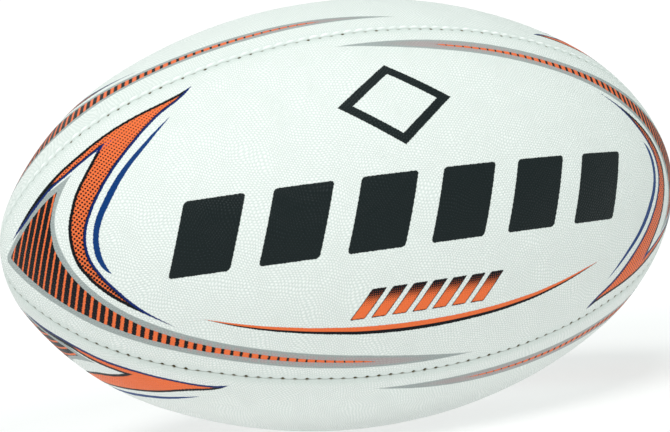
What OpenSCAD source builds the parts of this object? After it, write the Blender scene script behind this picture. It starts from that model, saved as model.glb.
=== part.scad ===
// Rugby ball: four laminated panels sewn edge to edge around an inflated bladder, with a
// valve in the middle of one panel.
// The origin is the ball's centre, X runs from tip to tip and the valve faces +Z.
// Each panel covers a quarter turn about X, so the seams lie at 45 degrees to Y and Z.

/* [Outline] */
// Length from tip to tip
ball_len = 300; // [290:1:310]
// Diameter at the middle
ball_d = 185; // [182:1:190]
// Radius of the belly arc of the outline
belly_r = 209; // [205:1:214]
// Angle that the belly arc spans on each side of the middle
belly_angle = 26.9; // [26:0.1:28]
// Radius of the rounded tips
nose_r = 46; // [43:1:49]

/* [Panels] */
// Thickness of the grained rubber cover
cover_t = 1; // [0.8:0.1:1.2]
// Thickness of one cloth ply
ply_t = 0.3; // [0.2:0.05:0.4]
// Depth of the edges that are turned in at the seams
turn_in = 5; // [4.5:0.5:7]
// Half the width of the groove along a seam
groove_half_w = 0.7; // [0.5:0.1:0.8]
// Depth of the groove along a seam
groove_depth = 0.6; // [0.4:0.1:0.7]

/* [Stitching] */
// Distance from one stitch to the next
stitch_pitch = 4.5; // [4:0.5:8]
// Diameter of the thread
thread_d = 0.8; // [0.6:0.1:1]
// Depth of the stitches below the surface
stitch_depth = 2.8; // [2.4:0.1:3.2]
// Distance along the outline from a tip to its first stitch
stitch_end = 9; // [8:1:20]

/* [Bladder] */
// Thickness of the bladder
bladder_t = 0.6; // [0.5:0.1:0.8]
// Room left between the bladder and the turned-in edges
bladder_room = 0.2; // [0.1:0.1:0.4]

/* [Valve] */
// Diameter of the housing's stem, where it fills the hole in the panel
stem_d = 8; // [7.5:0.5:9]
// Width of the gap around the stem
stem_gap = 0.1; // [0.05:0.05:0.2]
// Diameter of the housing's barrel inside the bladder
barrel_d = 9; // [8.5:0.5:11]
// Diameter of the housing's foot, bonded to the bladder
foot_d = 26; // [22:1:30]
// Thickness of the foot
foot_t = 1.2; // [1:0.1:1.5]
// Diameter of the reinforcing washer under the panel
washer_d = 32; // [31:1:36]
// Thickness of the reinforcing washer
washer_t = 0.4; // [0.3:0.1:0.6]
// Depth of the plug's head below the top of the ball
head_sink = 0.3; // [0.2:0.1:0.5]
// Diameter of the plug's head
head_d = 6.2; // [6:0.1:6.4]
// Thickness of the plug's head
head_t = 1.4; // [1.2:0.1:1.8]
// Diameter of the plug's shank
shank_d = 4.4; // [4.2:0.1:4.8]
// Length of the plug's shank
shank_len = 14.6; // [13:0.2:18]
// Radial clearance of the plug in the housing
plug_clear = 0.05; // [0.02:0.01:0.08]
// Diameter of the needle's bore in the plug
needle_d = 2.2; // [2:0.1:2.6]
// Diameter of the cone that leads the needle in
lead_in_d = 3.6; // [3.2:0.1:4]
// Depth of the cone that leads the needle in
lead_in_depth = 0.7; // [0.5:0.1:1]
// Thickness of the plug's closed end, which the needle parts
slit_t = 1.6; // [1:0.2:2.4]

/* [Hidden] */
PANELS = ["top", "front", "bottom", "back"];
PLIES = ["outer", "middle", "inner"];
SEAMS = ["top_back", "top_front", "bottom_front", "bottom_back"];

turn_fn = 180;
small_fn = 48;
// Points of the outline between its middle and a tip
outline_points = 32;

half_len = ball_len / 2;
ball_r = ball_d / 2;

// The outline is five arcs that meet smoothly: a belly, two shoulders and two noses.
// Every arc's centre is [place along X, distance from X], and its angle is taken from
// the direction square to X.
belly_centre = [0, ball_r - belly_r];
nose_centre = [half_len - nose_r, 0];
belly_out = [sin(belly_angle), cos(belly_angle)];
belly_to_nose = belly_centre + belly_r * belly_out - nose_centre;
shoulder_r = (belly_to_nose * belly_to_nose - nose_r * nose_r)
    / (2 * (belly_to_nose * belly_out - nose_r));
shoulder_centre = belly_centre + (belly_r - shoulder_r) * belly_out;
shoulder_to_nose = nose_centre - shoulder_centre;
shoulder_angle = atan2(shoulder_to_nose[0], shoulder_to_nose[1]);
tip_angle = 90;

// Depths below the surface at which one layer ends and the next begins
panel_t = cover_t + len(PLIES) * ply_t;
washer_bottom = panel_t + washer_t;
foot_bottom = washer_bottom + foot_t;
thread_run_t = 0.7 * thread_d;
thread_across = panel_t + thread_run_t / 2;
bladder_edge = thread_across + thread_d / 2 + bladder_room;
bladder_floor = turn_in + bladder_room;

// Lengths along the outline, from the middle to the end of each arc
belly_end = arc_length(belly_r, belly_angle);
shoulder_end = belly_end + arc_length(shoulder_r, shoulder_angle - belly_angle);
outline_end = shoulder_end + arc_length(nose_r, tip_angle - shoulder_angle);
stitches_each_way = floor((outline_end - stitch_end) / stitch_pitch);

hole_r = stem_d / 2 + stem_gap;
pocket_r = washer_d / 2 + bladder_room;
plug_top = ball_r - head_sink;
head_bottom = plug_top - head_t;
plug_bottom = head_bottom - shank_len;
past = 1;

function arc_length(r, angle) = r * angle * PI / 180;
function arc_turn(r, length) = length / r * 180 / PI;

// The outline's direction at a length from the middle, as an angle from square to X
function outline_angle(length) =
    length < belly_end ? arc_turn(belly_r, length)
    : length < shoulder_end ? belly_angle + arc_turn(shoulder_r, length - belly_end)
    : shoulder_angle + arc_turn(nose_r, length - shoulder_end);

// The point of the outline at that length, sunk below the surface by a depth
function arc_point(centre, r, angle) = centre + r * [sin(angle), cos(angle)];
function outline_point(length, depth) =
    length < belly_end ? arc_point(belly_centre, belly_r - depth, outline_angle(length))
    : length < shoulder_end ? arc_point(shoulder_centre, shoulder_r - depth, outline_angle(length))
    : arc_point(nose_centre, nose_r - depth, outline_angle(length));

// The place of a stitch in the plane of its seam
function stitch_place(stitch) =
    let (point = outline_point(abs(stitch) * stitch_pitch, stitch_depth))
    [sign(stitch) * point[0], point[1]];

// The point of the outline at a step from its middle, with steps that shorten towards
// the tips, where the outline turns most
function step_point(step, depth) =
    let (point = outline_point(outline_end * sin(90 * abs(step) / outline_points), depth))
    [max(point[1], 0), sign(step) * point[0]];

// The solid ball with its whole surface sunk by a depth
module ball(depth) {
    steps = [-outline_points : outline_points];
    rotate([0, 90, 0]) rotate_extrude($fn = turn_fn)
        polygon([for (step = steps) step_point(step, depth)]);
}

// The quarter of space under the top panel, held back from both seams by a distance
module quarter(back) {
    rotate([45, 0, 0]) translate([-ball_len, back, back]) cube([2 * ball_len, ball_d, ball_d]);
}

// One layer of the top panel: a shell whose two long edges are turned in along the seams
module panel_layer(depth, thickness) {
    difference() {
        intersection() {
            ball(depth);
            quarter(depth);
        }
        intersection() {
            ball(depth + thickness);
            quarter(depth + thickness);
        }
        ball(turn_in);
    }
}

// Turns the top panel's shape to the place of another panel
module at_panel(panel) {
    rotate([90 * panel, 0, 0]) children();
}

// Turns a shape that runs along the outline in the XY plane to the place of a seam
module at_seam(seam) {
    rotate([45 + 90 * seam, 0, 0]) children();
}

module valve_hole(r) {
    cylinder(h = ball_d, r = r, $fn = small_fn);
}

module cover(panel) {
    color("whitesmoke") at_panel(panel) difference() {
        panel_layer(0, cover_t);
        difference() {
            ball(-past);
            ball(groove_depth);
            quarter(groove_half_w);
        }
        if (panel == 0) valve_hole(hole_r);
    }
}

module ply(panel, ply) {
    color("wheat") at_panel(panel) difference() {
        panel_layer(cover_t + ply * ply_t, ply_t);
        if (panel == 0) valve_hole(hole_r);
    }
}

// One stitch: the thread crosses the turned-in edges of both panels
module stitch_across(place) {
    reach = thread_across + thread_d / 2;
    translate([place[0], place[1], -reach]) cylinder(h = 2 * reach, d = thread_d, $fn = small_fn);
}

// The thread from one stitch to the next, on one side of the seam. Its ends stop inside
// the thread that crosses.
module stitch_along(from, to, side) {
    step = to - from;
    start = thread_run_t / 4;
    translate([from[0], from[1], side * thread_across]) rotate(atan2(step[1], step[0]))
        translate([start, -thread_run_t / 2, -thread_run_t / 2])
            cube([norm(step) - 2 * start, thread_run_t, thread_run_t]);
}

// One seam's thread, with a run along the inside of each turned-in edge
module seam_thread(seam) {
    color("ivory") at_seam(seam) {
        for (stitch = [-stitches_each_way : stitches_each_way]) stitch_across(stitch_place(stitch));
        for (stitch = [-stitches_each_way : stitches_each_way - 1], side = [-1, 1])
            stitch_along(stitch_place(stitch), stitch_place(stitch + 1), side);
    }
}

// The bladder's outer or inner form: it fills the four panels and is pinched in under
// the seams, with a shallow pocket over the valve's foot
module bladder_form(depth) {
    difference() {
        union() {
            ball(bladder_floor + depth);
            for (panel = [0 : len(PANELS) - 1]) at_panel(panel) intersection() {
                ball(panel_t + depth);
                quarter(bladder_edge + depth);
            }
        }
        difference() {
            valve_hole(pocket_r + depth);
            ball(foot_bottom + depth);
        }
    }
}

module bladder() {
    color("peru") difference() {
        bladder_form(0);
        bladder_form(bladder_t);
        valve_hole(barrel_d / 2);
    }
}

// A disc curved to lie between two depths of the ball
module curved_disc(d, top, bottom) {
    difference() {
        intersection() {
            ball(top);
            valve_hole(d / 2);
        }
        ball(bottom);
    }
}

module valve_washer() {
    color("tan") difference() {
        curved_disc(washer_d, panel_t, washer_bottom);
        valve_hole(hole_r);
    }
}

module valve_housing() {
    foot_z = ball_r - washer_bottom - foot_t / 2;
    color("dimgray") difference() {
        union() {
            curved_disc(foot_d, washer_bottom, foot_bottom);
            translate([0, 0, foot_z]) cylinder(h = plug_top - foot_z, d = stem_d, $fn = small_fn);
            translate([0, 0, plug_bottom]) cylinder(h = foot_z - plug_bottom, d = barrel_d, $fn = small_fn);
        }
        translate([0, 0, plug_bottom - past])
            cylinder(h = shank_len + 2 * past, r = shank_d / 2 + plug_clear, $fn = small_fn);
        translate([0, 0, head_bottom])
            cylinder(h = head_t + past, r = head_d / 2 + plug_clear, $fn = small_fn);
    }
}

module valve_plug() {
    bore_bottom = plug_bottom + slit_t;
    color("gainsboro") difference() {
        union() {
            translate([0, 0, head_bottom]) cylinder(h = head_t, d = head_d, $fn = small_fn);
            translate([0, 0, plug_bottom]) cylinder(h = shank_len + head_t, d = shank_d, $fn = small_fn);
        }
        translate([0, 0, bore_bottom])
            cylinder(h = plug_top - bore_bottom + past, d = needle_d, $fn = small_fn);
        translate([0, 0, plug_top - lead_in_depth])
            cylinder(h = lead_in_depth, d1 = needle_d, d2 = lead_in_d, $fn = small_fn);
    }
}

for (panel = [0 : len(PANELS) - 1]) {
    cover(panel);
    for (ply = [0 : len(PLIES) - 1])
        ply(panel, ply);
}
for (seam = [0 : len(SEAMS) - 1])
    seam_thread(seam);
bladder();
valve_washer();
valve_housing();
valve_plug();
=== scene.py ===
"""The looks of the rugby ball: four printed rubber covers with rolled, stitched edges, and
a moulded valve with its plug. Lengths are in millimetres until they reach a mesh."""

import math
import random

import bmesh
import bpy
from mathutils import Matrix, Vector

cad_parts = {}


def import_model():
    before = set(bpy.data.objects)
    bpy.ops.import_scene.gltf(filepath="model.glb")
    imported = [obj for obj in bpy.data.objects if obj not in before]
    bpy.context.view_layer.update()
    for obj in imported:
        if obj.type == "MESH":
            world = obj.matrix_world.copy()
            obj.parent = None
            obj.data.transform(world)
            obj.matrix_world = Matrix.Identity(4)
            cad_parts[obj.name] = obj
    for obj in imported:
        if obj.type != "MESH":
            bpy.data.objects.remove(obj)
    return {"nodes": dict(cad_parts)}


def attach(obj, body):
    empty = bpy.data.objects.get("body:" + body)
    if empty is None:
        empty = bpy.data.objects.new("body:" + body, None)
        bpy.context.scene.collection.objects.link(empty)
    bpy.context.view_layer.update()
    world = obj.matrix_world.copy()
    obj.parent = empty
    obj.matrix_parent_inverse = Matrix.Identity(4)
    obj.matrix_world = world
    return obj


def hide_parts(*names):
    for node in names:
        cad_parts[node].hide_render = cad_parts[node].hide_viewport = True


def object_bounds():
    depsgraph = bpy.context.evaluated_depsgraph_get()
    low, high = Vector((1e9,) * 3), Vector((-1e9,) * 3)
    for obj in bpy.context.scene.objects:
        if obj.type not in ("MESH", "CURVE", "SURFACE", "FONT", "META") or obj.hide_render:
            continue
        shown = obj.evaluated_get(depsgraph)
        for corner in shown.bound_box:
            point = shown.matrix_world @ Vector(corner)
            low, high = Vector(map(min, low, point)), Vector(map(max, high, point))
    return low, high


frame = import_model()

cad_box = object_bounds()

MM = 0.001
HALF_LEN = cad_box[1].x / MM
BALL_R = -cad_box[0].z / MM

# The outline: a belly arc, two shoulder arcs and two nose arcs that meet smoothly
BELLY_R = 209
BELLY_ANGLE = math.radians(26.9)
NOSE_R = 46
BELLY_CENTRE = Vector((0, BALL_R - BELLY_R))
NOSE_CENTRE = Vector((HALF_LEN - NOSE_R, 0))

# The covers
COVER_T = 1.0
TURN_IN = 5.0
STITCH_PITCH = 4.5
LAST_STITCH = 180
ROWS_PER_STITCH = 12
ROWS_PER_COARSE = 6
INSIDE_COLUMNS = 22
END_GAP = 2
END_ROWS = (1.1, 0.15)
FULL_SIZE_R = 7.0
QUARTER = math.pi / 2
SEAM_ANGLE = math.pi / 4
PANELS = ("top", "front", "bottom", "back")

# The rolled edge of a cover
LIP_WIDTH = 2.8
LIP_R = 0.5
LIP_ARC_STEPS = 4
LIP_STEPS = 7
WALL_GAP = 0.04
WALL_DEPTH = 1.9
DIP_BETWEEN = 0.08
DIP_AT_STITCH = 0.42
# Painted shade, dark olive, in the seam's groove and stitch holes: the depth where it starts and
# fades in, how fast a hole brings it back, and how much of it the puffy seams lose
SEAM_SHADE_START = 0.3
SEAM_SHADE_FADE = 0.4
SEAM_SHADE_GAIN = 4
SEAM_SHADE_HIDDEN = 0.75

# How a seam wanders, and how the stitches pull on it
WANDER_WAVES = 4
WANDER_SIZE = (0.03, 0.07)
WANDER_LENGTH = (9, 40)
SEAM_FADE = 30
FADE_PAST = 2
PULL_FADE = 4
PULL_SHARPNESS = 1.6

# The holes at the stitches, and the puffs between them
HOLE_HALF_WIDTH = 0.5
HOLE_LENGTH = 0.5
HOLES_END = 150
HOLES_FADE = 45
HOLE_SPREAD = (0.2, 1.0)
HOLE_SPREAD_POWER = 1.4
PUFF_SPREAD = (0.45, 1.0)
PUFF_HEIGHT = 0.2
PUFF_OFF = 1.25
PUFF_HALF_WIDTH = 0.75
PUFF_LEAN = 1.1

# The valve, and the hole for it: (radius, depth) as the cover rolls into the hole
STEM_R = 4.0
STEM_ROOM = 0.1
FOOT_R = 13.0
FOOT_MIDDLE_R = 8.0
FOOT_TOP = 2.3
FOOT_T = 1.2
FOOT_EDGE = 0.5
FOOT_BEVEL = 0.3
BARREL_R = 4.5
BARREL_ROOM = 0.4
BARREL_ROUNDING = 0.3
RUBBER_ROUNDING = 0.22
ROUNDING_STEPS = 4
VALVE_SEGMENTS = 72
PLUG_TOP = BALL_R - 0.3
HEAD_R = 3.1
HEAD_T = 1.4
SHANK_R = 2.2
SHANK_LEN = 14.6
SHANK_TIP_R = SHANK_R - 0.35
SHANK_TIP = 0.5
PLUG_CLEAR = 0.05
NEEDLE_R = 1.1
NEEDLE_END = 0.4
AXIS_R = NEEDLE_R * 0.02
LEAD_IN_R = 1.8
LEAD_IN_DEPTH = 0.7
SLIT_T = 1.6
HEAD_BOTTOM = PLUG_TOP - HEAD_T
PLUG_BOTTOM = HEAD_BOTTOM - SHANK_LEN
VALVE_HOLE_R = 4.1
VALVE_HOLE_ROLL = ((5.0, 0.03), (4.55, 0.13), (4.27, 0.33), (4.13, 0.62), (VALVE_HOLE_R, COVER_T))
VALVE_HOLE_CELLS = 3
OUTER_PATCH_R = 5.7
UNDER_PATCH_R = 5.4


# ---- The ball's surface ----

def shoulder_radius():
    """The radius of the shoulder arc, which touches both the belly's arc and the nose's."""
    out = Vector((math.sin(BELLY_ANGLE), math.cos(BELLY_ANGLE)))
    across = BELLY_CENTRE + BELLY_R * out - NOSE_CENTRE
    return (across.dot(across) - NOSE_R ** 2) / (2 * (across.dot(out) - NOSE_R))


SHOULDER_R = shoulder_radius()
SHOULDER_CENTRE = BELLY_CENTRE + (BELLY_R - SHOULDER_R) * Vector(
    (math.sin(BELLY_ANGLE), math.cos(BELLY_ANGLE)))
SHOULDER_ANGLE = math.atan2(*(NOSE_CENTRE - SHOULDER_CENTRE))
BELLY_END = BELLY_R * BELLY_ANGLE
SHOULDER_END = BELLY_END + SHOULDER_R * (SHOULDER_ANGLE - BELLY_ANGLE)
OUTLINE_END = SHOULDER_END + NOSE_R * (QUARTER - SHOULDER_ANGLE)


def outline_point(length, depth):
    """(place along X, distance from X) at a length along the outline from its middle."""
    size = abs(length)
    if size < BELLY_END:
        centre, radius, angle = BELLY_CENTRE, BELLY_R, size / BELLY_R
    elif size < SHOULDER_END:
        centre, radius = SHOULDER_CENTRE, SHOULDER_R
        angle = BELLY_ANGLE + (size - BELLY_END) / SHOULDER_R
    else:
        centre, radius = NOSE_CENTRE, NOSE_R
        angle = SHOULDER_ANGLE + (size - SHOULDER_END) / NOSE_R
    x = centre.x + (radius - depth) * math.sin(angle)
    return math.copysign(x, length), centre.y + (radius - depth) * math.cos(angle)


def belly_height(x, y, depth):
    """Height of the ball's belly, sunk by a depth, over a place near the valve."""
    from_x = BELLY_CENTRE.y + math.sqrt((BELLY_R - depth) ** 2 - x * x)
    return math.sqrt(from_x ** 2 - y * y)


def smooth(value):
    """Rises smoothly from 0 to 1 as the value does."""
    value = min(max(value, 0), 1)
    return value * value * (3 - 2 * value)


# ---- Seams ----

class Seam:
    """How one seam wanders, and how far its holes gape and its cover puffs up."""

    def __init__(self, seed, puffs, holes):
        dice = random.Random(seed)
        self.puffs = puffs
        self.waves = [
            (dice.uniform(*WANDER_SIZE), dice.uniform(*WANDER_LENGTH), dice.uniform(0, math.tau))
            for _ in range(WANDER_WAVES)]
        self.holes = {}
        self.sizes = {}
        last = round(LAST_STITCH / STITCH_PITCH)
        for stitch in range(-last, last + 1):
            open_here = smooth((HOLES_END - STITCH_PITCH * abs(stitch)) / HOLES_FADE)
            spread = dice.uniform(*HOLE_SPREAD) ** HOLE_SPREAD_POWER
            self.holes[stitch] = holes * open_here * spread
            self.sizes[stitch] = puffs * dice.uniform(*PUFF_SPREAD)

    def fade(self, length, reach):
        """1 along the seam, falling to 0 just past its last stitches."""
        return smooth((LAST_STITCH + FADE_PAST - abs(length)) / reach)

    def wander(self, length):
        """How far the seam lies off its plane, towards the next panel."""
        waves = sum(size * math.sin(math.tau * length / wave + start)
                    for size, wave, start in self.waves)
        return self.fade(length, SEAM_FADE) * waves

    def pull(self, length):
        """1 at a stitch, 0 midway between two."""
        wave = 0.5 + 0.5 * math.cos(math.tau * length / STITCH_PITCH)
        return self.fade(length, PULL_FADE) * wave ** PULL_SHARPNESS

    def hole(self, length):
        """How far a stitch hole gapes, from 0 to 1."""
        stitch = round(length / STITCH_PITCH)
        off = (length - stitch * STITCH_PITCH) / HOLE_LENGTH
        return self.holes.get(stitch, 0) * math.exp(-off ** 4)

    def puff(self, length, off):
        """How far the cover puffs up between stitches, from 0 to 1."""
        along = length - PUFF_LEAN * (off - PUFF_OFF)
        wave = 0.5 - 0.5 * math.cos(math.tau * along / STITCH_PITCH)
        size = self.sizes.get(math.floor(along / STITCH_PITCH), 0)
        across = max(0, 1 - ((off - PUFF_OFF) / PUFF_HALF_WIDTH) ** 2)
        return size * self.fade(length, SEAM_FADE) * wave * across


# The seam on the far side of each panel in turn: top-back, top-front, bottom-front, bottom-back
SEAMS = [
    Seam(seed=3, puffs=0.8, holes=0.6),
    Seam(seed=11, puffs=1.0, holes=0.5),
    Seam(seed=19, puffs=0.1, holes=1.0),
    Seam(seed=27, puffs=0.4, holes=0.9),
]


def lip_profile(seam, side, length):
    """The rolled edge of a cover: (distance from the seam's plane, depth, painted shade, puff)
    from the wall inside the seam out to the smooth surface. The painted shade is dark olive
    down in the groove and the stitch holes."""
    hole = seam.hole(length)
    gape = WALL_GAP + HOLE_HALF_WIDTH * hole
    dip = DIP_BETWEEN + (DIP_AT_STITCH - DIP_BETWEEN) * seam.pull(length)
    # Painted shade: full at a stitch hole, and weaker along the seams that puff up
    seam_shade = 1 - SEAM_SHADE_HIDDEN * seam.puffs * (1 - smooth(hole * SEAM_SHADE_GAIN))
    points = [(WALL_GAP, WALL_DEPTH, seam_shade, 0)]
    for step in range(LIP_ARC_STEPS + 1):
        angle = QUARTER * step / LIP_ARC_STEPS
        depth = dip + LIP_R * (1 - math.sin(angle))
        off = gape + LIP_R * (1 - math.cos(angle))
        points.append((off, depth, seam_shade * smooth((depth - SEAM_SHADE_START) / SEAM_SHADE_FADE), 0))
    start = gape + LIP_R
    for step in range(1, LIP_STEPS + 1):
        off = start + (LIP_WIDTH - start) * step / LIP_STEPS
        puff = seam.puff(length, off) if side < 0 else 0
        depth = dip * (1 - smooth(step / LIP_STEPS)) - PUFF_HEIGHT * puff
        points.append((off, depth, 0, puff))
    return points


# ---- Meshes ----

SHARP_ANGLE = 40


class Maker:
    """Collects the corners and faces of one mesh, turned about X to a panel's place."""

    def __init__(self, panel=0):
        self.corners = []
        self.faces = []
        self.seam_shades = {}
        self.puffs = {}
        turn = QUARTER * panel
        self.cos, self.sin = math.cos(turn), math.sin(turn)

    def corner(self, x, y, z):
        turned = (x, y * self.cos - z * self.sin, y * self.sin + z * self.cos)
        self.corners.append(tuple(MM * value for value in turned))
        return len(self.corners) - 1

    def face(self, *corners):
        self.faces.append(corners)

    def bridge(self, first, second):
        """Quads between two rows of corners."""
        for here in range(len(first) - 1):
            self.face(first[here], first[here + 1], second[here + 1], second[here])

    def piece(self, name):
        mesh = bpy.data.meshes.new(name)
        mesh.from_pydata(self.corners, [], self.faces)
        shape = bmesh.new()
        shape.from_mesh(mesh)
        bmesh.ops.recalc_face_normals(shape, faces=shape.faces)
        shape.to_mesh(mesh)
        shape.free()
        mesh.shade_smooth()
        mesh.set_sharp_from_angle(angle=math.radians(SHARP_ANGLE))
        made = bpy.data.objects.new(name, mesh)
        bpy.context.scene.collection.objects.link(made)
        return made


def cover_rows():
    """Lengths along the outline of a cover's rows, and which of them are coarse rows."""
    step = STITCH_PITCH / ROWS_PER_STITCH
    reach = ROWS_PER_COARSE * int((OUTLINE_END - END_GAP) / (step * ROWS_PER_COARSE))
    ends = [OUTLINE_END - short for short in END_ROWS]
    middle = [step * row for row in range(-reach, reach + 1)]
    lengths = [-end for end in reversed(ends)] + middle + ends
    coarse = [0, 1] + list(range(2, len(middle) + 2, ROWS_PER_COARSE))
    return lengths, coarse + [len(lengths) - 2, len(lengths) - 1]


class CoverRow:
    """The corners of one row of a cover."""

    def __init__(self, maker, panel, length, coarse):
        self.maker, self.length = maker, length
        self.size = min(1, outline_point(length, 0)[1] / FULL_SIZE_R)
        self.lips = [self.lip(panel, side) for side in (1, -1)]
        if coarse:
            self.inside()

    def at_angle(self, angle, depth):
        x, radius = outline_point(self.length, depth * self.size)
        return self.maker.corner(x, radius * math.sin(angle), radius * math.cos(angle))

    def angle_off_seam(self, off, depth):
        radius = outline_point(self.length, depth * self.size)[1]
        return SEAM_ANGLE - math.asin(off * self.size / radius)

    def off_seam(self, side, off, depth, wander=0):
        off = off - side * wander * (1 - off / LIP_WIDTH)
        return self.at_angle(side * self.angle_off_seam(off, depth), depth)

    def lip(self, panel, side):
        seam = SEAMS[(panel + (side < 0)) % len(SEAMS)]
        wander = seam.wander(self.length)
        corners = []
        for off, depth, seam_shade, puff in lip_profile(seam, side, self.length):
            corner = self.off_seam(side, off, depth, wander)
            self.maker.seam_shades[corner] = seam_shade
            self.maker.puffs[corner] = puff
            corners.append(corner)
        return corners

    def inside(self):
        """The corners that only coarse rows have: outside, underside and turned-in edges."""
        outer = self.angle_off_seam(LIP_WIDTH, 0)
        under = self.angle_off_seam(COVER_T, COVER_T)
        steps = [1 - 2 * column / INSIDE_COLUMNS for column in range(1, INSIDE_COLUMNS)]
        self.outside = [self.at_angle(outer * step, 0) for step in steps]
        self.underside = [self.at_angle(under * step, COVER_T) for step in steps]
        self.corners = [self.off_seam(side, COVER_T, COVER_T) for side in (1, -1)]
        self.ends = [(self.off_seam(side, WALL_GAP, TURN_IN), self.off_seam(side, COVER_T, TURN_IN))
                     for side in (1, -1)]

    def under_loop(self):
        """Corners of the inner side, from the end of one turned-in edge to the other's."""
        (first_out, first_in), (last_out, last_in) = self.ends
        return [first_out, first_in, self.corners[0], *self.underside, self.corners[1],
                last_in, last_out]

    def loop(self):
        """All corners of the row, once round its section."""
        first, last = self.lips
        under = self.under_loop()
        return [*first, *self.outside, *reversed(last), *reversed(under)]


def level_ring(maker, angles, radius, height):
    """A ring of corners about Z, all at one height."""
    return [maker.corner(radius * math.cos(angle), radius * math.sin(angle), height)
            for angle in angles]


def sunk_ring(maker, angles, radius, depth):
    """A ring of corners about Z, all at one depth below the ball's surface."""
    corners = []
    for angle in angles:
        x, y = radius * math.cos(angle), radius * math.sin(angle)
        corners.append(maker.corner(x, y, belly_height(x, y, depth)))
    return corners


def join_rings(maker, rings):
    for first, second in zip(rings, rings[1:]):
        maker.bridge([*first, first[0]], [*second, second[0]])


def hole_patch(maker, edge, radius, depth):
    """Joins a square opening's edge, once round, to a ring of three times as many corners."""
    turns = [math.atan2(maker.corners[c][1], maker.corners[c][0]) for c in edge]
    angles = []
    for here, turn in enumerate(turns):
        step = (turns[(here + 1) % len(turns)] - turn) % math.tau
        angles += [turn + step * part / 3 for part in range(3)]
    ring = sunk_ring(maker, angles, radius, depth)
    for here in range(len(edge)):
        after = [ring[(3 * here + part) % len(ring)] for part in (3, 2, 1, 0)]
        maker.face(edge[here], edge[(here + 1) % len(edge)], *after)
    return ring, angles


def square_edge(rows, column, name):
    """Corners round the block of cells about the middle, in order of their angle."""
    block = [getattr(row, name)[column - 1:column + 2] for row in rows]
    left = [line[0] for line in block]
    right = [line[-1] for line in block]
    return [*left[::-1], block[0][1], *right, block[-1][1]]


def add_valve_hole(maker, rows):
    """Rolls the cover's rubber into the valve's round hole."""
    middle = INSIDE_COLUMNS // 2 - 1
    outer_edge = square_edge(rows, middle, "outside")
    under_edge = square_edge(rows, middle, "underside")
    ring, angles = hole_patch(maker, outer_edge, OUTER_PATCH_R, 0)
    rolled = [sunk_ring(maker, angles, radius, depth) for radius, depth in VALVE_HOLE_ROLL]
    join_rings(maker, [ring, *rolled])
    under_ring, _ = hole_patch(maker, under_edge, UNDER_PATCH_R, COVER_T)
    join_rings(maker, [rolled[-1], under_ring])


def fill_cell(maker, rows, open_columns):
    """Joins the coarse rows at the two ends of a stretch of a cover's rows."""
    first, second = rows[0], rows[-1]
    for column in range(INSIDE_COLUMNS - 2):
        if column in open_columns:
            continue
        for line in ("outside", "underside"):
            here, after = getattr(first, line), getattr(second, line)
            maker.bridge(here[column:column + 2], after[column:column + 2])
    here, after = first.under_loop(), second.under_loop()
    maker.bridge(here[:4], after[:4])
    maker.bridge(here[-4:], after[-4:])
    for side, near in ((0, 0), (1, -1)):
        lip = [row.lips[side] for row in rows]
        maker.face(first.outside[near], *[line[-1] for line in lip], second.outside[near])
        maker.face(here[near], *[line[0] for line in lip], after[near])


def make_cover(panel):
    maker = Maker(panel)
    lengths, coarse = cover_rows()
    is_coarse = set(coarse)
    rows = [CoverRow(maker, panel, length, number in is_coarse)
            for number, length in enumerate(lengths)]
    for first, second in zip(rows, rows[1:]):
        for side in (0, 1):
            maker.bridge(first.lips[side], second.lips[side])
    middle = len(coarse) // 2
    hole_cells = range(middle - VALVE_HOLE_CELLS, middle + VALVE_HOLE_CELLS) if panel == 0 else ()
    hole_columns = (INSIDE_COLUMNS // 2 - 2, INSIDE_COLUMNS // 2 - 1)
    for cell, (start, end) in enumerate(zip(coarse, coarse[1:])):
        fill_cell(maker, rows[start:end + 1], hole_columns if cell in hole_cells else ())
    maker.face(*rows[0].loop())
    maker.face(*rows[-1].loop())
    if panel == 0:
        near_hole = coarse[middle - VALVE_HOLE_CELLS:middle + VALVE_HOLE_CELLS + 1]
        add_valve_hole(maker, [rows[row] for row in near_hole])
    cover = maker.piece(f"printed_cover_{PANELS[panel]}")
    # The painted shade in the seams' grooves and holes, and how far the cover puffs up, for the
    # material to read
    record(cover, "seam_shade", maker.seam_shades)
    record(cover, "puff", maker.puffs)
    return cover


def record(piece, name, values):
    """Stores a number for each corner of the mesh, for its material to read."""
    layer = piece.data.attributes.new(name, "FLOAT", "POINT")
    layer.data.foreach_set("value", [values.get(here, 0) for here in range(len(layer.data))])


def rounded(profile, size):
    """The profile with each corner turned into a small arc."""
    points = []
    for before, here, after in zip(profile, profile[1:], profile[2:]):
        here = Vector(here)
        back, on = Vector(before) - here, Vector(after) - here
        reach = min(size, back.length / 2.2, on.length / 2.2)
        start, end = here + back.normalized() * reach, here + on.normalized() * reach
        for step in range(ROUNDING_STEPS + 1):
            part = step / ROUNDING_STEPS
            points.append(start.lerp(here, part).lerp(here.lerp(end, part), part))
    return [Vector(profile[0]), *points, Vector(profile[-1])]


def foot_profile():
    """(radius, depth) out over the foot, round its rim and back below it."""
    low = FOOT_TOP + FOOT_T
    return [(STEM_R + FOOT_BEVEL, FOOT_TOP), (FOOT_MIDDLE_R, FOOT_TOP),
            (FOOT_R - FOOT_EDGE, FOOT_TOP), (FOOT_R - 0.3 * FOOT_EDGE, FOOT_TOP + 0.3 * FOOT_EDGE),
            (FOOT_R, FOOT_TOP + FOOT_EDGE), (FOOT_R, low - FOOT_BEVEL), (FOOT_R - FOOT_BEVEL, low),
            (FOOT_MIDDLE_R, low), (BARREL_R + FOOT_BEVEL, low)]


def valve_angles():
    return [math.tau * segment / VALVE_SEGMENTS for segment in range(VALVE_SEGMENTS)]


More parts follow.
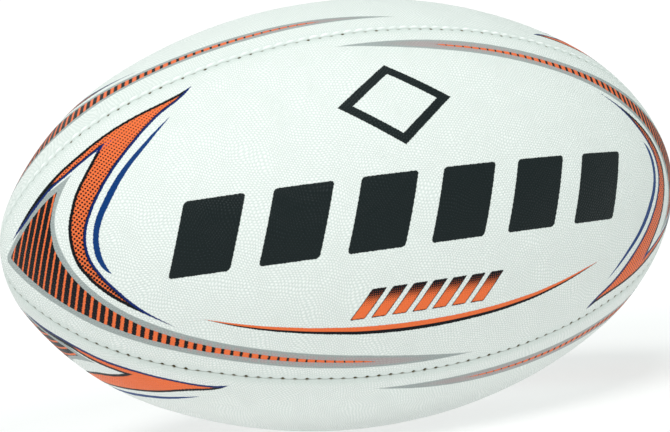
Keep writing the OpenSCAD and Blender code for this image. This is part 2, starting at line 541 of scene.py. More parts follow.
def make_housing():
    """The moulded stem, foot and barrel. The foot follows the ball's surface."""
    stem = rounded([
        (HEAD_R + PLUG_CLEAR, HEAD_BOTTOM), (HEAD_R + PLUG_CLEAR, PLUG_TOP), (STEM_R, PLUG_TOP),
        (STEM_R, BALL_R - FOOT_TOP - STEM_ROOM)], RUBBER_ROUNDING)
    barrel = rounded([
        (BARREL_R, BALL_R - FOOT_TOP - FOOT_T - BARREL_ROOM), (BARREL_R, PLUG_BOTTOM),
        (SHANK_R + PLUG_CLEAR, PLUG_BOTTOM), (SHANK_R + PLUG_CLEAR, HEAD_BOTTOM)],
        BARREL_ROUNDING)
    maker = Maker()
    angles = valve_angles()
    rings = [level_ring(maker, angles, *point) for point in stem]
    rings += [sunk_ring(maker, angles, *point) for point in foot_profile()]
    rings += [level_ring(maker, angles, *point) for point in barrel]
    join_rings(maker, [*rings, rings[0]])
    return maker.piece("moulded_valve_housing")


def make_plug():
    """The plug: a rounded head with a lead-in cone, and a plain shank round the bore."""
    bore_bottom = PLUG_BOTTOM + SLIT_T
    profile = rounded([
        (AXIS_R, PLUG_BOTTOM), (SHANK_TIP_R, PLUG_BOTTOM), (SHANK_R, PLUG_BOTTOM + SHANK_TIP),
        (SHANK_R, HEAD_BOTTOM), (HEAD_R, HEAD_BOTTOM), (HEAD_R, PLUG_TOP), (LEAD_IN_R, PLUG_TOP),
        (NEEDLE_R, PLUG_TOP - LEAD_IN_DEPTH), (NEEDLE_R, bore_bottom + NEEDLE_END),
        (NEEDLE_R * 0.6, bore_bottom), (AXIS_R, bore_bottom)], RUBBER_ROUNDING)
    maker = Maker()
    rings = [level_ring(maker, valve_angles(), *point) for point in profile]
    join_rings(maker, rings)
    maker.face(*rings[0])
    maker.face(*rings[-1])
    return maker.piece("moulded_valve_plug")


# ---- Arithmetic on a surface ----

def feed(tree, slot, value):
    """Links a signal to a node's input, or sets it to a number."""
    if isinstance(value, Signal):
        tree.links.new(value.socket, slot)
    else:
        slot.default_value = value


EDGE_SOFTNESS = 0.16
SOFT_EDGE = 0.3
SLOPE_STEP = 0.6


class Signal:
    """A number worked out at each point of a surface, written as plain arithmetic."""

    def __init__(self, tree, socket):
        self.tree, self.socket = tree, socket

    def math(self, operation, *others, clamp=False):
        node = self.tree.nodes.new("ShaderNodeMath")
        node.operation = operation
        node.use_clamp = clamp
        for slot, value in zip(node.inputs, (self, *others)):
            feed(self.tree, slot, value)
        return Signal(self.tree, node.outputs[0])

    def __add__(self, other):
        return self.math("ADD", other)

    def __sub__(self, other):
        return self.math("SUBTRACT", other)

    def __rsub__(self, other):
        return self.math("MULTIPLY_ADD", -1.0, other)

    def __mul__(self, other):
        return self.math("MULTIPLY", other)

    def __truediv__(self, other):
        return self.math("DIVIDE", other)

    def __abs__(self):
        return self.math("ABSOLUTE")

    def least(self, other):
        return self.math("MINIMUM", other)

    def most(self, other):
        return self.math("MAXIMUM", other)

    def clamped(self):
        return self.math("ADD", 0.0, clamp=True)

    def mask(self, softness=EDGE_SOFTNESS):
        """1 where a distance inside an edge is positive, 0 where it is negative."""
        return self.math("MULTIPLY_ADD", 1 / softness, 0.5, clamp=True)

    def curve(self, points):
        """The value, where this signal is the place, on a smooth curve through points."""
        places = [place for place, _ in points]
        values = [value for _, value in points]
        low, high = min(values), max(values)
        node = self.tree.nodes.new("ShaderNodeFloatCurve")
        reach = places[-1] - places[0]
        part = self.math("MULTIPLY_ADD", 1 / reach, -places[0] / reach, clamp=True)
        feed(self.tree, node.inputs["Value"], part)
        line = node.mapping.curves[0]
        line.points[0].location = (0, (values[0] - low) / (high - low))
        line.points[1].location = (1, (values[-1] - low) / (high - low))
        for place, value in points[1:-1]:
            line.points.new((place - places[0]) / reach, (value - low) / (high - low))
        node.mapping.update()
        return Signal(self.tree, node.outputs[0]).math("MULTIPLY_ADD", high - low, low)


def node_group(name, inputs, outputs, build):
    """A node group whose outputs are the signals that build makes from its inputs."""
    tree = bpy.data.node_groups.new(name, "ShaderNodeTree")
    for title in inputs:
        tree.interface.new_socket(title, in_out="INPUT", socket_type="NodeSocketFloat")
    for title in outputs:
        tree.interface.new_socket(title, in_out="OUTPUT", socket_type="NodeSocketFloat")
    start = tree.nodes.new("NodeGroupInput")
    end = tree.nodes.new("NodeGroupOutput")
    made = build(*[Signal(tree, start.outputs[title]) for title in inputs])
    for title, signal in zip(outputs, made):
        feed(tree, end.inputs[title], signal)
    return tree


def use_group(tree, group, *values):
    node = tree.nodes.new("ShaderNodeGroup")
    node.node_tree = group
    for slot, value in zip(node.inputs, values):
        feed(tree, slot, value)
    return [Signal(tree, socket) for socket in node.outputs]


# ---- The print ----

# All in millimetres: x along the ball, t around it from the panel's middle, and e from the
# nearer seam. Each edge is a smooth curve through (place, value) points, which were measured
# in the photo and carried onto the ball.
# The band's two edges, outer then inner: x over t at its pointed end, e over x along the seam
BAND_END = (
    [(-1, -144.9), (6.4, -139.5), (13.6, -133), (17.8, -128.1), (20, -124.7), (26, -114)],
    [(-21.2, -117.5), (-16.6, -120.7), (-9.7, -125), (-5, -127.1), (-1.5, -128.2),
     (3, -128.7), (7.4, -128.6), (11.1, -127.8), (15.5, -126.5), (20, -124.7), (26, -122)],
)
BAND_RUN = (
    [(-144.7, 14.6), (-138.2, 13.7), (-128.5, 12.9), (-115.2, 12.2), (-106.6, 11.8),
     (-91.9, 11), (-71.7, 10.4), (-51, 9.5), (-40.3, 9.1), (-29.4, 8.6), (-20, 8.1), (-10, 8)],
    [(-123.7, 26.2), (-117.5, 22.2), (-110.6, 19.3), (-106.1, 18), (-100.9, 16.6), (-95, 15.5),
     (-88.4, 14.5), (-81.8, 13.7), (-66.6, 12.4), (-45.7, 10.7), (-34.9, 9.9), (-23.9, 9),
     (-19, 8), (-10, 7)],
)
BORDER_END = (
    [(-0.6, -146.5), (4.8, -142.6), (13.2, -135.9), (19.5, -129.6), (22.9, -123.8),
     (25.9, -118.7), (30, -110)],
    [(-18.6, -117.3), (-14.1, -120.3), (-9.1, -123.2), (-1.4, -126.1), (2.6, -126.9), (6.5, -127.1),
     (10.9, -126.5), (15.7, -124.8), (20.6, -122.4), (25.9, -118.7), (30, -115)],
)
BORDER_RUN = (
    [(-145.9, 10.9), (-138.6, 10.6), (-128.7, 10.3), (-115.4, 9.4), (-100, 8.9), (-82, 8.3),
     (-61.4, 7.3), (-40.2, 6.2), (-18, 5.5), (0, 5.2), (25, 5.1)],
    [(-123.3, 29.5), (-120.3, 26.9), (-117.3, 25), (-114.1, 23.4), (-110.4, 21.9),
     (-105.9, 20.5), (-100.7, 19.3), (-94.9, 18.2), (-88.3, 17.1), (-76.6, 15.8),
     (-56.2, 14.2), (-35, 12.5), (-24.1, 11.6), (-12.7, 10.3), (0, 8.4), (16.5, 5.4), (25, 4)],
)
# The band's stripes along x: their number so far, their orange share, and their lean over t
STRIPE_COUNT = [(-147, -1), (-143.5, 0.5), (-129.6, 6.5), (-122, 9.5), (-111.1, 13.5),
                (-95.1, 19), (-76.4, 25), (-60, 30), (-35, 37.4), (-5, 46)]
STRIPE_SHARE = [(-147, 0.24), (-129.6, 0.27), (-111, 0.35), (-101, 0.42), (-89, 0.5),
                (-76, 0.57), (-60, 0.66), (-35, 0.78), (-10, 0.9)]
STRIPE_SHEAR = [(-60, -12.5), (-35, -8.5), (-20, -5.5), (-8, -2.4), (8, 2.6), (26, 8.5)]
# The hook's edges and the crescent's two: x over t
HOOK_OUTER = [(0, -147.6), (5.1, -143.5), (9.6, -140.3), (15.7, -135.6), (22.8, -129.3),
              (28.2, -123.3), (32.4, -117.5), (40, -106.1), (44.9, -96.6), (52.4, -77.7),
              (55.2, -72.5), (60, -60)]
HOOK_TAIL_INNER = [(0, -150), (5.1, -143.5), (9.7, -138.5), (16, -132.7), (21.8, -126.6),
                   (25.6, -120.8), (31.3, -112.3), (36.1, -104.7), (40, -98)]
HOOK_LEFT = [(-42, -83), (-37.2, -90.1), (-31.1, -99.1), (-26, -106.2), (-19.8, -113.2),
             (-12.9, -118.6), (-7, -121.5), (-0.9, -122.6), (5, -122.4), (11.3, -120.8),
             (17.2, -118.6), (23, -115.3), (29, -111.5), (33.4, -108.9), (36.1, -107.4),
             (40, -105.5)]
HOOK_RIGHT = [(-42, -84.3), (-37.2, -90.1), (-27.8, -101.4), (-20, -108.2), (-12.7, -113.4),
              (-7.4, -115.9), (-1.9, -116.8), (2.8, -116.2), (8.8, -113.9), (16.8, -109.3),
              (24.4, -103.8), (32.7, -96.6), (41.9, -87.7), (55.2, -72.5), (60, -70)]
CRESCENT_LEFT = [(-18, -103), (-13.9, -109.3), (-12.4, -111.4), (-8.9, -113.5), (-4.5, -114.5),
                 (0.3, -114.3), (5.4, -113), (12.3, -109.4), (21.3, -103.2), (30.8, -94.3),
                 (42.2, -82), (47, -76)]
CRESCENT_RIGHT = [(-18, -105), (-13.9, -109.3), (-9.2, -111.5), (-4.3, -112.4), (-0.1, -112.3),
                  (5, -110.8), (11.9, -106.9), (21.3, -100.6), (31.4, -91.7), (42.2, -82),
                  (47, -78)]
# The swoosh's middle (t) and half its width, over x
SWOOSH_MIDDLE = [(-80, -35.5), (-75.3, -37.3), (-64.6, -40.8), (-53.7, -43.6), (-37, -46.8),
                 (-19.7, -48.9), (-1.7, -49.5), (17.4, -48.7), (37.9, -46.1), (52.6, -42.7),
                 (68.5, -37.6), (76, -35)]
SWOOSH_HALF_WIDTH = [(-80, -0.1), (-78, 0.1), (-70, 0.55), (-53.7, 1.04), (-37, 1.36),
                     (-19.7, 1.66), (-7.8, 1.75), (10.9, 1.62), (30.9, 1.45), (45.1, 1.16),
                     (60.3, 0.7), (73.5, 0.1), (76, -0.1)]

TWIN_SHIFT = 2.7
BORDER_INSET = 1.0
WARM_START, WARM_RISE = -112.0, 30.0
WARM_END, WARM_FALL = 4.0, 16.0
WARM_SOLID_START, WARM_SOLID_RISE = -30.0, 10.0
FILL_INSET = 1.15
RIM_WIDTH = 0.85
OUTER_RIM_WIDTH = 0.95
TAIL_START_T = 24.5
TAIL_START_X = -124.5
TAIL_RIM_T = 36.5
DOT_CELL = 1.7
DOT_RADIUS = [(-38, 0.64), (-22, 0.52), (0, 0.41), (25, 0.34), (45, 0.25), (56, 0.15)]


def between(signal, first, second, place):
    """Distance inside two edge curves: past the first and short of the second."""
    return (signal - place.curve(first)).least(place.curve(second) - signal)


def edge_past(signal, points, place):
    """Distance past an edge curve, measured square to the curve."""
    here = place.curve(points)
    slope = ((place + SLOPE_STEP).curve(points) - here) / SLOPE_STEP
    return (signal - here) / (slope * slope + 1.0).math("SQRT")


def blade(x, t, e, end_edges, run_edges):
    """The band with a pointed upper end that turns along the seam and tapers off."""
    outer = (x - t.curve(end_edges[0])).least(e - x.curve(run_edges[0]))
    inner = (t.curve(end_edges[1]) - x).most(x.curve(run_edges[1]) - e)
    return outer.least(inner)


def band_print(x, t, e, ragged, trim):
    """The striped band and its grey border, at one end and one side of a panel."""
    dark = (blade(x, t, e, BAND_END, BAND_RUN) + ragged).mask()
    border_inside = blade(x, t, e, BORDER_END, BORDER_RUN) - trim
    border = (border_inside + ragged).mask(SOFT_EDGE)
    along = x - t.curve(STRIPE_SHEAR)
    wave = abs(along.curve(STRIPE_COUNT).math("FRACT") - 0.5)
    share = along.curve(STRIPE_SHARE)
    stripe = (share * 0.5 - wave + ragged * 0.3).mask(0.09)
    inner = (border_inside - BORDER_INSET).mask(0.5)
    started = ((x - WARM_START) / WARM_RISE).clamped()
    ended = ((WARM_END - x) / WARM_FALL).clamped()
    solid = ((x - WARM_SOLID_START) / WARM_SOLID_RISE).clamped()
    warm = inner * started * ended * stripe.most(solid)
    return border, dark, stripe * dark, warm


def hook_dots(x, t, faint):
    """1 on the hook's small dark dots, which shrink towards its upper end."""
    dot_r = t.curve(DOT_RADIUS) - faint
    column = abs(((x + t) / DOT_CELL).math("FRACT") - 0.5)
    line = abs(((x - t) / DOT_CELL).math("FRACT") - 0.5)
    off_dot = (column * column + line * line).math("SQRT") * (DOT_CELL / math.sqrt(2))
    return (dot_r - off_dot).mask(0.2)


def hook_print(x, t, ragged, faint):
    """The forked orange hook with its dark outline and dots, and the blue crescent."""
    past_outer = edge_past(x, HOOK_OUTER, t)
    before_right = edge_past(x, HOOK_RIGHT, t) * -1.0
    past_tail = edge_past(x, HOOK_TAIL_INNER, t)
    slot = past_tail.least(edge_past(x, HOOK_LEFT, t) * -1.0)
    inside = past_outer.least(before_right).least(slot * -1.0) + ragged
    shape = inside.mask()
    beyond_tail = (t - TAIL_START_T).mask(1.5).most((x - TAIL_START_X).mask())
    fill = (inside - FILL_INSET).mask(0.25) * beyond_tail
    to_blue_edge = before_right.least(abs(past_tail).most(t - TAIL_RIM_T))
    rim = shape * (RIM_WIDTH - to_blue_edge).mask(SOFT_EDGE)
    outer_rim = shape * (OUTER_RIM_WIDTH - past_outer).mask(SOFT_EDGE)
    crescent = (between(x, CRESCENT_LEFT, CRESCENT_RIGHT, t) + ragged).mask()
    return shape, rim, outer_rim, fill * (1.0 - hook_dots(x, t, faint)), crescent


def round_box(x, y, half_width, half_height, radius):
    """Distance inside a rectangle with rounded corners."""
    across = abs(x) - (half_width - radius)
    up = abs(y) - (half_height - radius)
    far = across.most(0.0)
    high = up.most(0.0)
    corner = (far * far + high * high).math("SQRT")
    return radius - (corner + across.most(up).least(0.0))


def repeated(x, pitch, count):
    """Folds x so that a shape about 0 repeats count times, centred on 0."""
    half = (count - 1) / 2
    number = (x / pitch + half + 0.5).math("FLOOR").most(0.0).least(count - 1.0)
    return x - (number - half) * pitch


BLOCK_DOWN, BLOCK_LEAN = 5.5, 0.32
BLOCK_PITCH, BLOCK_COUNT = 30.5, 6
BLOCK_HALF_WIDTH, BLOCK_HALF_HEIGHT, BLOCK_ROUNDING = 10.4, 13.2, 1.4
RING_LEFT, RING_UP = 3.5, 34.5
RING_HALF_WIDTH, RING_HALF_HEIGHT = 21.5, 17.0
RING_HOLE, RING_SCALE = 0.74, 13.2
BAR_LEFT, BAR_DOWN, BAR_LEAN = 0.5, 38.0, 0.75
BAR_PITCH, BAR_COUNT = 7.6, 7
BAR_HALF_WIDTH, BAR_HALF_HEIGHT, BAR_ROUNDING = 2.7, 5.6, 0.5
GLOW_REACH, GLOW_SHIFT, GLOW_INSET = 9.0, 0.2, 0.35
HALFTONE_CELL, HALFTONE_GAIN = 0.8, 1.6
SWOOSH_SPLIT = 0.15


def blocks_and_ring(x, t):
    """Distance inside the row of slanted blocks or the diamond ring."""
    low = t + BLOCK_DOWN
    blocks = round_box(repeated(x - low * BLOCK_LEAN, BLOCK_PITCH, BLOCK_COUNT), low,
                       BLOCK_HALF_WIDTH, BLOCK_HALF_HEIGHT, BLOCK_ROUNDING)
    off = abs(x + RING_LEFT) / RING_HALF_WIDTH + abs(t - RING_UP) / RING_HALF_HEIGHT
    ring = (1.0 - off).least(off - RING_HOLE) * RING_SCALE
    return blocks.most(ring)


def small_bars(x, small):
    """Distance inside the row of small slanted bars."""
    along = repeated(x + BAR_LEFT - small * BAR_LEAN, BAR_PITCH, BAR_COUNT)
    return round_box(along, small, BAR_HALF_WIDTH, BAR_HALF_HEIGHT, BAR_ROUNDING)


def halftone(x, t):
    """Fine printed dots, as a signal about 0."""
    across = (x / HALFTONE_CELL).math("FRACT") - 0.5
    return across * ((t / HALFTONE_CELL).math("FRACT") - 0.5) * HALFTONE_GAIN


def mark_print(x, t, ragged):
    """Plain shapes: a row of slanted blocks, a diamond ring, a row of bars and a swoosh."""
    dark = (blocks_and_ring(x, t) + ragged).mask()
    small = t + BAR_DOWN
    bars = small_bars(x, small) + ragged
    glow = ((0.0 - small) / GLOW_REACH + GLOW_SHIFT + halftone(x, t)).mask(SOFT_EDGE)
    middle = x.curve(SWOOSH_MIDDLE)
    half = x.curve(SWOOSH_HALF_WIDTH)
    swoosh = (half - abs(t - middle) + ragged).mask()
    upper = (t - middle + half * SWOOSH_SPLIT).mask()
    return dark, bars.mask(), glow * (bars - GLOW_INSET).mask(SOFT_EDGE), swoosh, upper


# ---- Materials ----

def linear(red, green, blue):
    """A display colour, 0 to 255, as the linear colour that a shader takes."""
    def channel(value):
        value /= 255
        return value / 12.92 if value <= 0.04045 else ((value + 0.055) / 1.055) ** 2.4
    return channel(red), channel(green), channel(blue), 1


def mixed(tree, share, first, second):
    """A colour between two, each a colour or an output."""
    node = tree.nodes.new("ShaderNodeMix")
    node.data_type = "RGBA"
    feed(tree, node.inputs["Factor"], share)
    slots = [slot for slot in node.inputs if slot.type == "RGBA"]
    for slot, colour in zip(slots, (first, second)):
        if isinstance(colour, tuple):
            slot.default_value = colour
        else:
            tree.links.new(colour, slot)
    return [socket for socket in node.outputs if socket.type == "RGBA"][0]


def noise(tree, place, scale, detail=2.0, roughness=0.5):
    """Soft noise about 0, over a place in metres."""
    node = tree.nodes.new("ShaderNodeTexNoise")
    node.inputs["Scale"].default_value = scale
    node.inputs["Detail"].default_value = detail
    node.inputs["Roughness"].default_value = roughness
    tree.links.new(place, node.inputs["Vector"])
    return Signal(tree, node.outputs["Fac"]) - 0.5


def new_material(name, roughness):
    """A material with its shader, and the place on the object in metres."""
    material = bpy.data.materials.new(name)
    material.use_nodes = True
    tree = material.node_tree
    shader = tree.nodes["Principled BSDF"]
    shader.inputs["Roughness"].default_value = roughness
    place = tree.nodes.new("ShaderNodeTexCoord").outputs["Object"]
    return material, tree, shader, place


def add_bump(tree, shader, height, size):
    """Raises the surface by the height times a size in millimetres."""
    bump = tree.nodes.new("ShaderNodeBump")
    bump.inputs["Distance"].default_value = size * MM
    feed(tree, bump.inputs["Height"], height)
    tree.links.new(bump.outputs["Normal"], shader.inputs["Normal"])


def split(tree, vector):
    node = tree.nodes.new("ShaderNodeSeparateXYZ")
    tree.links.new(vector, node.inputs[0])
    return [Signal(tree, socket) for socket in node.outputs]


GRAIN_PITCH = 1.12
GRAIN_TURNS = (15, 75, 135)
GRAIN_SHARPNESS = 0.8
SWAY_SCALE, SWAY_ALONG, SWAY_AROUND = 55, 8.0, 6.0
DRIFT_SCALE, DRIFT_ALONG, DRIFT_AROUND = 170, 1.8, 1.5
JITTER_SCALE, JITTER_ALONG, JITTER_AROUND = 460, 0.5, 0.4


def grain(tree, place, x, t):
    """Rubber pimples in wavy rows: 1 on a pimple, 0 in the gaps."""
    sway = noise(tree, place, SWAY_SCALE, 1.0)
    drift = noise(tree, place, DRIFT_SCALE, 1.0)
    jitter = noise(tree, place, JITTER_SCALE, 1.0)
    along = x + sway * SWAY_ALONG + drift * DRIFT_ALONG + jitter * JITTER_ALONG
    around = t + sway * SWAY_AROUND - drift * DRIFT_AROUND + jitter * JITTER_AROUND
    turn = math.tau / (GRAIN_PITCH * math.cos(math.radians(30)))
    waves = []
    for angle in GRAIN_TURNS:
        lean = math.radians(angle)
        phase = along * (turn * math.cos(lean)) + around * (turn * math.sin(lean))
        waves.append(phase.math("COSINE"))
    total = waves[0] + waves[1] + waves[2]
    return ((total + 1.5) / 4.5).math("POWER", GRAIN_SHARPNESS)


WHITE = linear(249, 251, 249)
# A shaded copy of the white: painted shade in the gaps between the pimples
SHADED_WHITE_GAP = linear(213, 221, 217)
SMUDGE = linear(214, 222, 214)
# A painted highlight on the puffs between stitches
PUFF_HIGHLIGHT = linear(254, 254, 254)
GREY = linear(154, 163, 162)
WARM_GREY = linear(168, 155, 155)
GREY_GLINT = linear(205, 210, 208)
DARK = linear(3, 6, 14)
BLACK_INK = linear(23, 32, 33)
INK_GLINT = linear(62, 70, 74)
ORANGE = linear(243, 117, 64)
# A shaded copy of the orange: painted shade in the gaps between the pimples
SHADED_ORANGE_GAP = linear(214, 78, 34)
NAVY = linear(2, 7, 16)
NAVY_RIM = linear(2, 34, 104)
BLUE = linear(2, 54, 116)
BLUE_GLINT = linear(30, 84, 150)
# Painted shade in the seams' grooves and stitch holes
OLIVE_SEAM_SHADE = linear(92, 78, 34)

COVER_ROUGHNESS = 0.5
COVER_SHINE = 0.11
COVER_BUMP = 0.16
PLAIN_START = 1.2
PLAIN_RISE = 3.0
SEAM_GRAIN = 0.15
RAGGED_SIZE = 0.22
SMUDGE_SCALE = 14
SMUDGE_STRENGTH = 0.10


def panel_place(tree, place, panel):
    """x, t and the distances from the panel's two seams, in millimetres."""
    turned = tree.nodes.new("ShaderNodeVectorRotate")
    turned.rotation_type = "X_AXIS"
    turned.inputs["Angle"].default_value = -QUARTER * panel
    tree.links.new(place, turned.inputs["Vector"])
    x, y, z = [part * (1 / MM) for part in split(tree, turned.outputs["Vector"])]
    radius = (y * y + z * z).math("SQRT")
    t = y.math("ARCTAN2", z) * radius
    half = radius * SEAM_ANGLE
    return x, t, t + half, half - t


def both_prints(tree, x, t, low_e, high_e, ragged, placing):
    """The print at one end of a panel joined with its twin, turned half round, at the other."""
    moved = x.curve(placing.drift)
    back = moved - TWIN_SHIFT
    edges = ragged, placing.trim, placing.faint
    masks = use_group(tree, PRINT, x, t - moved, low_e - moved, *edges)
    twins = use_group(tree, PRINT, x * -1.0, back - t, high_e + back, *edges)
    return [first.most(second) for first, second in zip(masks, twins)]


def plain_rubber(tree, place, pimple, puff):
    """White rubber with painted shade in the gaps between its pimples, faint smudges, and a painted
    highlight on its puffs.
    """
    # Painted shade in the gaps between the pimples. Near the seams, where the grain fades, it also
    # lies over the rolled edges
    colour = mixed(tree, pimple, SHADED_WHITE_GAP, WHITE)
    smudge = (noise(tree, place, SMUDGE_SCALE, 3.0) * 1.4 + 0.1).clamped()
    colour = mixed(tree, smudge * SMUDGE_STRENGTH, colour, SMUDGE)
    # Painted highlight on the puffs between stitches
    return mixed(tree, (puff * 1.2).clamped(), colour, PUFF_HIGHLIGHT)


def inked_bands(tree, colour, prints, pimple, blue_outside):
    """Prints the bands, hooks and crescents, and tells where their ink lies."""
    border, dark, stripe, warm, hook, rim, outer_rim, fill, crescent = prints
    # Painted shade in the gaps between the orange ink's pimples
    orange = mixed(tree, (1.0 - pimple) * 0.16, ORANGE, SHADED_ORANGE_GAP)
    border_colour = mixed(tree, warm, GREY, WARM_GREY)
    border_colour = mixed(tree, pimple * 0.28, border_colour, GREY_GLINT)
    colour = mixed(tree, border, colour, border_colour)
    colour = mixed(tree, dark, colour, mixed(tree, pimple * 0.12, DARK, INK_GLINT))
    colour = mixed(tree, stripe, colour, orange)
    navy = mixed(tree, outer_rim if blue_outside else rim, NAVY, NAVY_RIM)
    colour = mixed(tree, hook, colour, navy)
    colour = mixed(tree, fill, colour, orange)
    colour = mixed(tree, crescent, colour, mixed(tree, pimple * 0.1, BLUE, BLUE_GLINT))
    return colour, border.most(dark).most(hook).most(crescent)


def inked_marks(tree, colour, marks, pimple):
    """Prints the blocks, the ring, the bars and the swoosh, and tells where their ink lies."""
    black, bars, glow, swoosh, upper = marks
    # Painted shade in the gaps between the orange ink's pimples
    orange = mixed(tree, (1.0 - pimple) * 0.16, ORANGE, SHADED_ORANGE_GAP)
    black_colour = mixed(tree, (pimple - 0.72) * 1.3, BLACK_INK, INK_GLINT)
    colour = mixed(tree, black, colour, black_colour)
    colour = mixed(tree, bars, colour, mixed(tree, pimple * 0.12, DARK, INK_GLINT))
    colour = mixed(tree, glow, colour, orange)
    colour = mixed(tree, swoosh, colour, NAVY)
    colour = mixed(tree, swoosh * upper, colour, orange)
    return colour, black.most(bars).most(swoosh)


def cover_material(panel, placing, marked):
    """Printed white rubber. The print is placed from the panel's middle and its seams."""
    material, tree, shader, place = new_material(f"printed_rubber_{PANELS[panel]}", 0.46)
    x, t, low_e, high_e = panel_place(tree, place, panel)
    pimple = grain(tree, place, x, t)
    ragged = (pimple - 0.4) * RAGGED_SIZE
    puff = recorded(tree, "puff")
    plain_edge = ((low_e.least(high_e) - PLAIN_START) / PLAIN_RISE).clamped()
    pimple_here = pimple * (plain_edge * (1 - SEAM_GRAIN) + SEAM_GRAIN)

    colour = plain_rubber(tree, place, pimple_here, puff)
    prints = both_prints(tree, x, t, low_e, high_e, ragged, placing)
    colour, ink = inked_bands(tree, colour, prints, pimple, placing.blue_outside)
    if marked:
        marks = use_group(tree, MARKS, x, t, ragged)
        colour, mark_ink = inked_marks(tree, colour, marks, pimple)
        ink = ink.most(mark_ink)
    # Painted shade, dark olive, down in the seams' grooves and stitch holes
    colour = mixed(tree, recorded(tree, "seam_shade"), colour, OLIVE_SEAM_SHADE)
    tree.links.new(colour, shader.inputs["Base Color"])
    roughness = COVER_ROUGHNESS - ink * 0.1 - (1.0 - plain_edge) * 0.1 - puff * 0.1
    feed(tree, shader.inputs["Roughness"], roughness)
    shader.inputs["Specular IOR Level"].default_value = COVER_SHINE
    add_bump(tree, shader, pimple_here, COVER_BUMP)
    return material


def recorded(tree, name):
    """A number that was stored for each corner of the mesh."""
    node = tree.nodes.new("ShaderNodeAttribute")
    node.attribute_name = name
    return Signal(tree, node.outputs["Fac"])


def woven_material(name, colour, gap_shade, pitch):
    """Plain weave: threads that cross at right angles, with painted shade in the gaps between them.
    """
    material, tree, shader, place = new_material(name, 0.85)
    x, y, z = [part * (1 / MM) for part in split(tree, place)]
    around = y.math("ARCTAN2", z) * (y * y + z * z).math("SQRT")
    warp = (x * (math.pi / pitch)).math("SINE")
    weft = (around * (math.pi / pitch)).math("SINE")
    height = (abs(warp) * abs(weft)).math("SQRT")
    fibre = noise(tree, place, 900, 3.0)
    # Painted shade in the gaps between the threads
    tree.links.new(mixed(tree, height + fibre * 0.5, gap_shade, colour), shader.inputs["Base Color"])
    add_bump(tree, shader, height + fibre * 0.3, 0.12)
    return material


def thread_material():
    """Waxed thread with a twist, and painted shade in the twist's grooves."""
    material, tree, shader, place = new_material("waxed_thread", 0.5)
    x, y, z = [part * (1 / MM) for part in split(tree, place)]
    twist = ((x + y * 1.7 + z * 1.7) * 9.0).math("SINE") * 0.5 + 0.5
    # Painted shade: darker in the twist's grooves, where the bump is low
    colour = mixed(tree, twist, linear(196, 190, 168), linear(236, 234, 222))
    tree.links.new(colour, shader.inputs["Base Color"])
    add_bump(tree, shader, twist, 0.08)
    return material


def mottled_material(name, first, second, roughness, scale, bump):
    """Moulded rubber: fine mottling and a faint orange-peel surface."""
    material, tree, shader, place = new_material(name, roughness)
    cloud = (noise(tree, place, scale, 4.0) * 1.6 + 0.5).clamped()
    speck = noise(tree, place, scale * 12, 2.0)
    tree.links.new(mixed(tree, cloud, first, second), shader.inputs["Base Color"])
    feed(tree, shader.inputs["Roughness"], cloud * 0.12 + (roughness - 0.06))
    add_bump(tree, shader, speck + cloud * 0.3, bump)
    return material


FLOOR_GREYS = (0.49, 0.51)
FLOOR_GLOW = 0.52
FAR_GLOW = 0.25
FAR_START, FAR_RISE = 0.3, 0.6


def floor_material():
    """A pale floor, which glows a little more away from the ball."""
    material, tree, shader, place = new_material("pale_floor", 0.9)
    cloud = (noise(tree, place, 3, 2.0) + 0.5).clamped()
    dark, light = [(grey, grey, grey, 1) for grey in FLOOR_GREYS]
    tree.links.new(mixed(tree, cloud, dark, light), shader.inputs["Base Color"])
    x, y, _ = split(tree, place)
    far = (((x * x + y * y).math("SQRT") - FAR_START) / FAR_RISE).clamped()
    shader.inputs["Emission Color"].default_value = (1, 1, 1, 1)
    feed(tree, shader.inputs["Emission Strength"], far * FAR_GLOW + FLOOR_GLOW)
    return material


PRINT = node_group(
    "panel_print", ("x", "t", "e", "ragged", "trim", "faint"),
    ("border", "dark", "stripe", "warm", "hook", "rim", "outer_rim", "fill", "crescent"),
    lambda x, t, e, ragged, trim, faint: (
        *band_print(x, t, e, ragged, trim), *hook_print(x, t, ragged, faint)))
MARKS = node_group(
    "panel_marks", ("x", "t", "ragged"), ("black", "bars", "glow", "swoosh", "upper"), mark_print)


def finish_piece(piece, body, material, node=None):
    """Gives a piece its material and ties it to the frame."""
    piece.data.materials.clear()
    piece.data.materials.append(material)
    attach(piece, body)
    if node:
        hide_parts(node)


def dress_node(name, material):
    """A CAD node that keeps its shape gets a better material."""
    mesh = frame["nodes"][name].data
    mesh.materials.clear()
    mesh.materials.append(material)


# ---- The camera, light and floor ----

CAMERA_TURN = -0.2746
CAMERA_RISE = -0.0494
CAMERA_ROLL = -0.1394
CAMERA_DISTANCE = 451.5
AIM_RIGHT = -0.0200
AIM_UP = -0.0027
LENS = 55.0
SENSOR_WIDTH = 36
CLIP_START, CLIP_END = 0.02, 50

KEY_PLACE = (-0.5, -1.05, 1.45)
KEY_SIZE = 0.9
KEY_POWER = 21.5
FLOOR_R = 6000
FLOOR_CORNERS = 96

# The studio's light is dimmer and faintly cool all round, and white behind the ball
SKY_COLOUR = (0.43, 0.487, 0.463, 1)
BACKDROP_COLOUR = (1.06, 1.06, 1.06, 1)
BACKDROP_START = 0.72
BACKDROP_FULL = 0.8


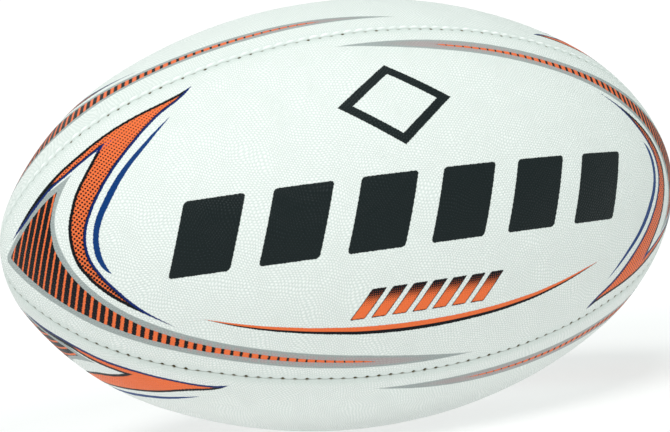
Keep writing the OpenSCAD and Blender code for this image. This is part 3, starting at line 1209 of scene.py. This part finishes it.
def make_camera():
    """The photo's view: turned, raised and rolled about the ball, then aimed a little aside."""
    data = bpy.data.cameras.new("camera")
    data.lens = LENS
    data.sensor_width = SENSOR_WIDTH
    data.clip_start, data.clip_end = CLIP_START, CLIP_END
    camera = bpy.data.objects.new("camera", data)
    bpy.context.scene.collection.objects.link(camera)
    back = Vector((
        math.sin(CAMERA_TURN) * math.cos(CAMERA_RISE),
        -math.cos(CAMERA_TURN) * math.cos(CAMERA_RISE),
        math.sin(CAMERA_RISE)))
    right = (-back).cross(Vector((0, 0, 1))).normalized()
    up = right.cross(-back)
    rolled_right = right * math.cos(CAMERA_ROLL) + up * math.sin(CAMERA_ROLL)
    rolled_up = up * math.cos(CAMERA_ROLL) - right * math.sin(CAMERA_ROLL)
    aim = (-back + rolled_right * AIM_RIGHT + rolled_up * AIM_UP).normalized()
    side = aim.cross(rolled_up).normalized()
    top = side.cross(aim)
    pose = Matrix((side, top, -aim)).transposed().to_4x4()
    pose.translation = back * CAMERA_DISTANCE * MM
    camera.matrix_world = pose
    bpy.context.scene.camera = camera


def make_light(name, place, size, power):
    """A round soft light, aimed at the ball."""
    data = bpy.data.lights.new(name, "AREA")
    data.shape = "DISK"
    data.size = size
    data.energy = power
    light = bpy.data.objects.new(name, data)
    light.location = place
    light.rotation_euler = (-Vector(place)).to_track_quat("-Z", "Y").to_euler()
    bpy.context.scene.collection.objects.link(light)


def make_floor():
    maker = Maker()
    turns = [math.tau * step / FLOOR_CORNERS for step in range(FLOOR_CORNERS)]
    maker.face(*level_ring(maker, turns, FLOOR_R, -BALL_R))
    floor = maker.piece("floor")
    floor.data.materials.append(floor_material())


def make_studio():
    world = bpy.data.worlds.new("studio")
    world.use_nodes = True
    tree = world.node_tree
    background = tree.nodes["Background"]
    look = tree.nodes.new("ShaderNodeTexCoord").outputs["Generated"]
    behind = ((split(tree, look)[1] - BACKDROP_START) / (BACKDROP_FULL - BACKDROP_START)).clamped()
    sky = mixed(tree, behind, SKY_COLOUR, BACKDROP_COLOUR)
    tree.links.new(sky, background.inputs["Color"])
    bpy.context.scene.world = world
    bpy.context.scene.view_settings.view_transform = "Standard"
    make_light("key_light", KEY_PLACE, KEY_SIZE, KEY_POWER)
    make_floor()


# ---- Making everything ----

class Placing:
    """Where a panel's print lies: how far it has drifted around the ball along X, how much
    its border is trimmed and its dots have shrunk, and whether its blue is outside."""

    def __init__(self, drift, trim=0, faint=0, blue_outside=False):
        self.drift, self.trim, self.faint, self.blue_outside = drift, trim, faint, blue_outside


PLACINGS = {
    "top": Placing([(-150, 0.3), (-85, 1.9), (-60, 2.3), (0, 3.9), (150, 3)], trim=0.7),
    "front": Placing([(-150, 0), (150, 0.01)]),
    "bottom": Placing([(-130, 3.7), (-106, 2), (-77, 1), (0, 0.5), (150, 0)],
                      faint=0.2, blue_outside=True),
    "back": Placing([(-150, 0.6), (150, 1.4)]),
}

make_camera()
make_studio()

for number, panel_name in enumerate(PANELS):
    cover = make_cover(number)
    cover_finish = cover_material(number, PLACINGS[panel_name], panel_name in ("front", "back"))
    finish_piece(cover, "ball", cover_finish, f"cover_{panel_name}")

housing_rubber = mottled_material(
    "valve_rubber", linear(38, 38, 40), linear(58, 58, 60), 0.55, 260, 0.03)
plug_rubber = mottled_material(
    "plug_rubber", linear(204, 204, 200), linear(226, 226, 222), 0.5, 320, 0.03)
finish_piece(make_housing(), "ball", housing_rubber, "valve_housing")
finish_piece(make_plug(), "plug", plug_rubber, "valve_plug")

ply_cloth = woven_material("ply_cloth", linear(222, 208, 172), linear(150, 128, 92), 0.9)
washer_cloth = woven_material("washer_cloth", linear(190, 180, 156), linear(120, 108, 84), 0.7)
thread = thread_material()
latex = mottled_material(
    "bladder_latex", linear(176, 116, 56), linear(204, 148, 84), 0.38, 40, 0.05)
for node_name in frame["nodes"]:
    if node_name.startswith("ply_"):
        dress_node(node_name, ply_cloth)
    elif node_name.startswith("seam_thread_"):
        dress_node(node_name, thread)
dress_node("bladder", latex)
dress_node("valve_washer", washer_cloth)
